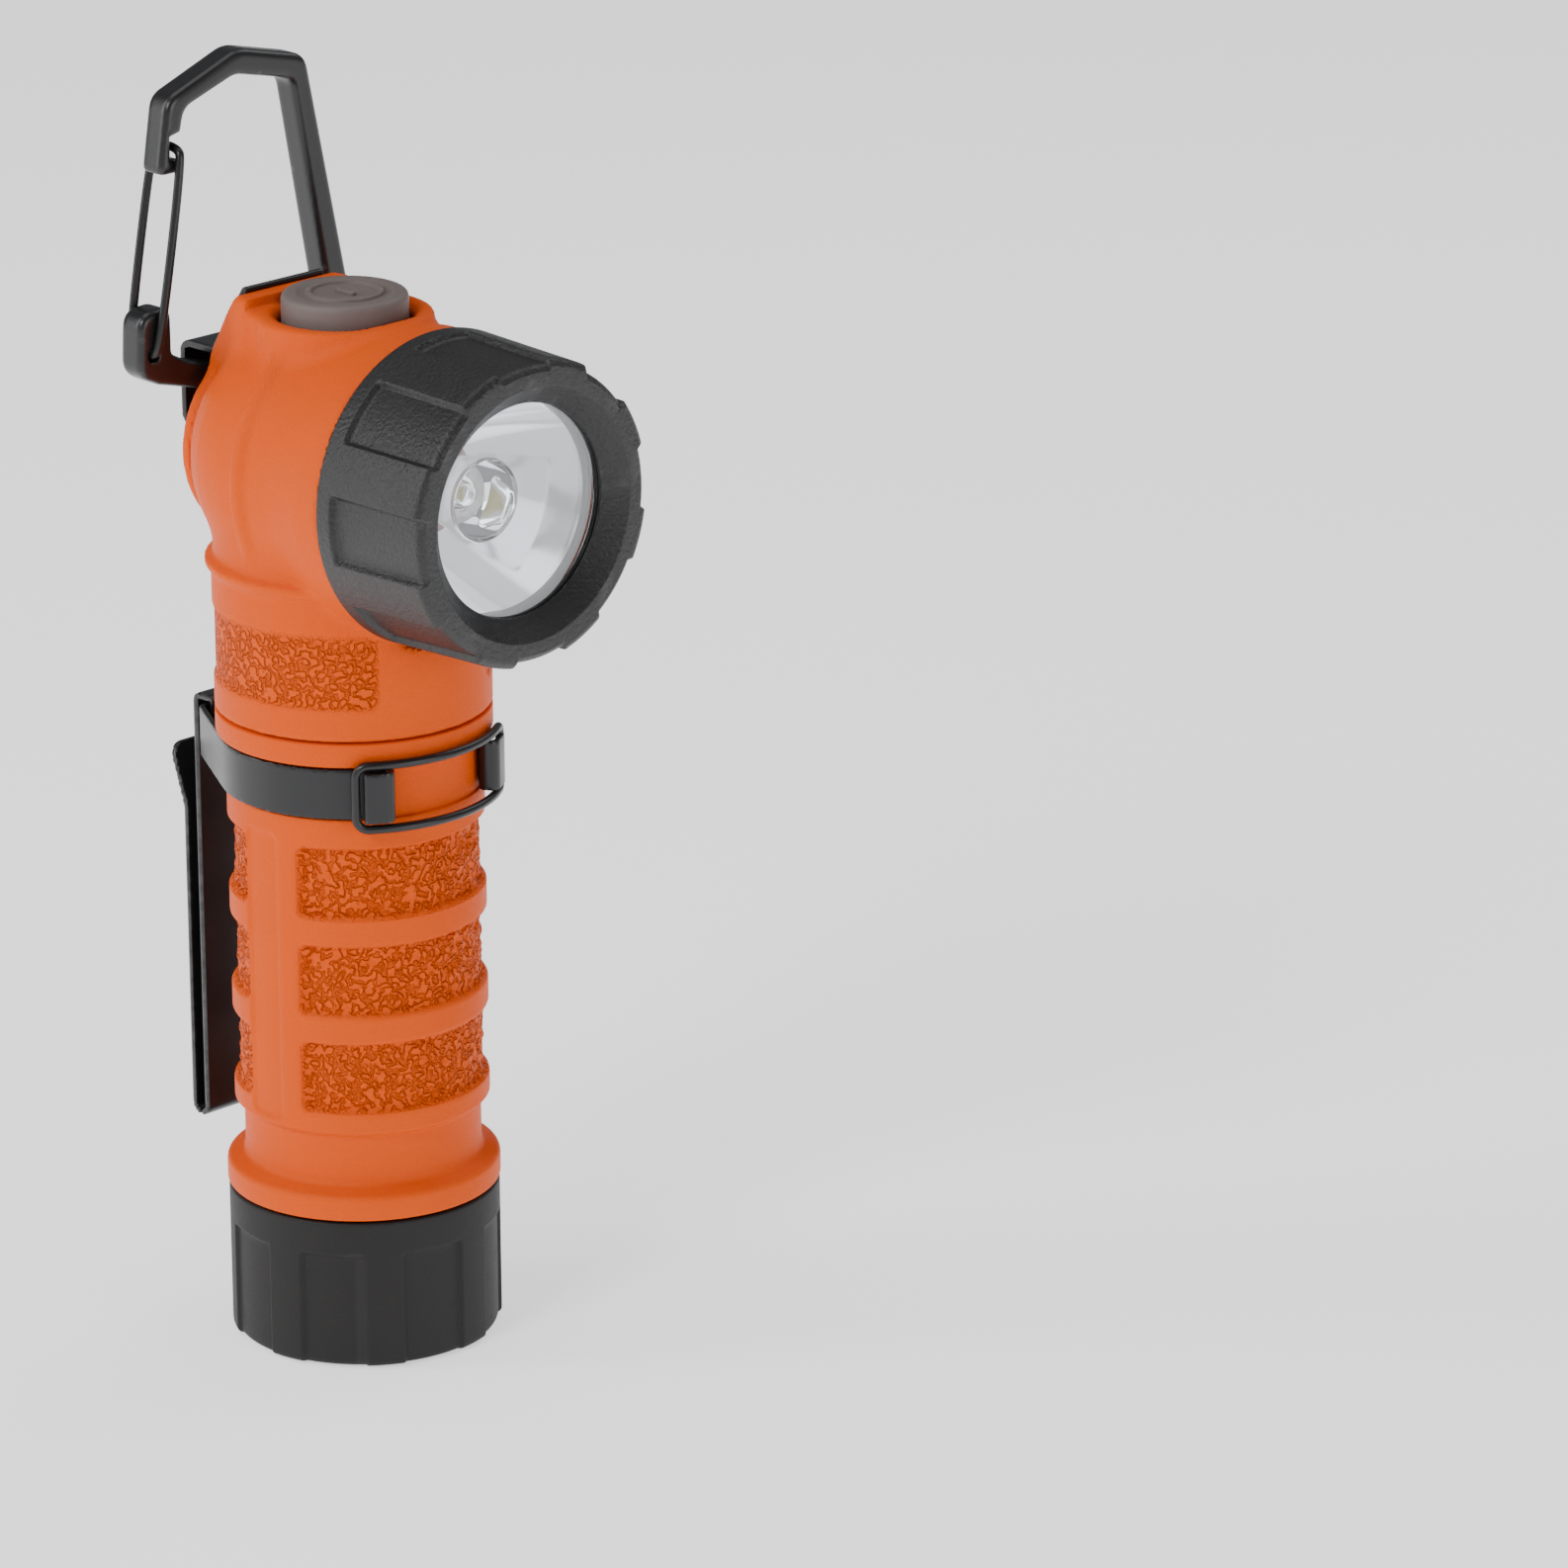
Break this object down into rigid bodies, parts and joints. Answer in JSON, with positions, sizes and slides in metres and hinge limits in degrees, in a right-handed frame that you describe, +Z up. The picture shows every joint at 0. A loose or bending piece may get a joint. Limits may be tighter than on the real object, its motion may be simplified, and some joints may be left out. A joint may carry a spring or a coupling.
{
  "type": "firefighter flashlight",
  "caption": "Right-angle hand light with a vertical battery barrel, side-facing beam, top push button, spring pocket clip and tether carabiner.",
  "frame": {"origin": "centre of the tail cap's flat end face, on the barrel axis", "axes": "+Z up the barrel from the tail face, beam along -Y, clip and tether bracket on the +Y side, +X to the right when the beam faces the viewer's front"},
  "size_m": [0.0402, 0.063, 0.1654],
  "materials": {
    "orange_polymer": "fine spark-eroded grain, safety orange",
    "black_polymer": "leather-grained black elastomer over polymer",
    "black_rubber": "fine matt grain",
    "seal_rubber": "smooth",
    "grey_rubber": "soft matt, warm grey",
    "black_steel": "satin black oxide",
    "black_aluminium": "satin black anodised",
    "spring_steel": "bright plated",
    "brass": "plated contact",
    "aluminium": "turned",
    "mirror_finish": "vacuum-metallised mirror",
    "clear_plastic": "polished clear polycarbonate",
    "board_green": "solder mask",
    "board_white": "white-masked metal-core board",
    "moulded_black": "moulded",
    "led_yellow": "phosphor",
    "lead_red": "insulated wire",
    "cell_wrap": "shrink-wrapped metal can"
  },
  "bodies": {
    "light": {"barrel": "orange_polymer", "barrel_liner": "aluminium", "tail_cap_oring": "seal_rubber", "battery_cell": "cell_wrap", "battery_positive_cap": "spring_steel", "housing_oring": "seal_rubber", "head_housing": "orange_polymer", "contact_carrier": "moulded_black", "positive_contact_spring": "brass", "driver_board": "board_green", "driver_inductor": "moulded_black", "driver_chip": "moulded_black", "heat_sink": "aluminium", "led_board": "board_white", "led_emitter": "led_yellow", "lead_positive": "lead_red", "lead_negative": "moulded_black", "reflector": "mirror_finish", "collimator_optic": "clear_plastic", "bezel_oring": "seal_rubber", "switch_body": "moulded_black", "switch_board": "board_green", "switch_retainer": "moulded_black", "clamp_band": "black_steel", "clip_plate": "black_steel", "tether_bracket": "black_steel", "bracket_screw_upper": "black_steel", "bracket_screw_lower": "black_steel"},
    "tail_contacts": {"tail_contact_disc": "brass", "tail_spring": "spring_steel"},
    "tail": {"tail_cap": "black_rubber"},
    "lens_stack": {"front_lens": "clear_plastic", "lens_gasket": "seal_rubber"},
    "bezel_ring": {"bezel": "black_polymer"},
    "button": {"switch_button": "grey_rubber", "switch_actuator": "moulded_black"},
    "carabiner": {"carabiner_body": "black_aluminium"},
    "gate": {"carabiner_gate": "black_steel"},
    "latch": {"latch_wire": "black_steel"},
    "arm": {"clip_arm": "black_steel"}
  },
  "joints": [
    {"name": "tail_cap_travel", "type": "slide", "parent": "light", "child": "tail_contacts", "axis": [0, 0, -1], "range_m": [0, 0.008]},
    {"name": "tail_cap_turn", "type": "hinge", "parent": "tail_contacts", "child": "tail", "pos_m": [0, 0, 0.01], "axis": [0, 0, -1], "range_deg": [0, 1440]},
    {"name": "bezel_travel", "type": "slide", "parent": "light", "child": "lens_stack", "axis": [0, -1, 0], "range_m": [0, 0.0054]},
    {"name": "bezel_turn", "type": "hinge", "parent": "lens_stack", "child": "bezel_ring", "pos_m": [0, -0.025, 0.1159], "axis": [0, -1, 0], "range_deg": [0, 1080]},
    {"name": "switch_press", "type": "slide", "parent": "light", "child": "button", "axis": [0, 0, -1], "range_m": [0, 0.0012], "stiffness_N_per_m": 3000, "springref_m": -0.0004},
    {"name": "carabiner_swing", "type": "hinge", "parent": "light", "child": "carabiner", "pos_m": [0, 0.0206, 0.12258], "axis": [-0.9659, 0, 0.2588], "range_deg": [0, 150]},
    {"name": "gate_open", "type": "hinge", "parent": "carabiner", "child": "gate", "pos_m": [-0.0156, 0.0206, 0.12878], "axis": [0, 1, 0], "range_deg": [0, 26], "stiffness_Nm_per_rad": 0.04, "springref_deg": -14.32},
    {"name": "latch_open", "type": "hinge", "parent": "light", "child": "latch", "pos_m": [0.01222, -0.01386, 0.0773], "axis": [0, 0, 1], "range_deg": [0, 100]},
    {"name": "clip_flex", "type": "hinge", "parent": "light", "child": "arm", "pos_m": [0, 0.02415, 0.02485], "axis": [-1, 0, 0], "range_deg": [0, 6], "stiffness_Nm_per_rad": 1.6, "springref_deg": -2.86}
  ],
  "couplings": [
    {"joint": "tail_cap_travel", "follows": "tail_cap_turn", "m_per_rad": 0.0003183},
    {"joint": "bezel_travel", "follows": "bezel_turn", "m_per_rad": 0.0002864}
  ]
}
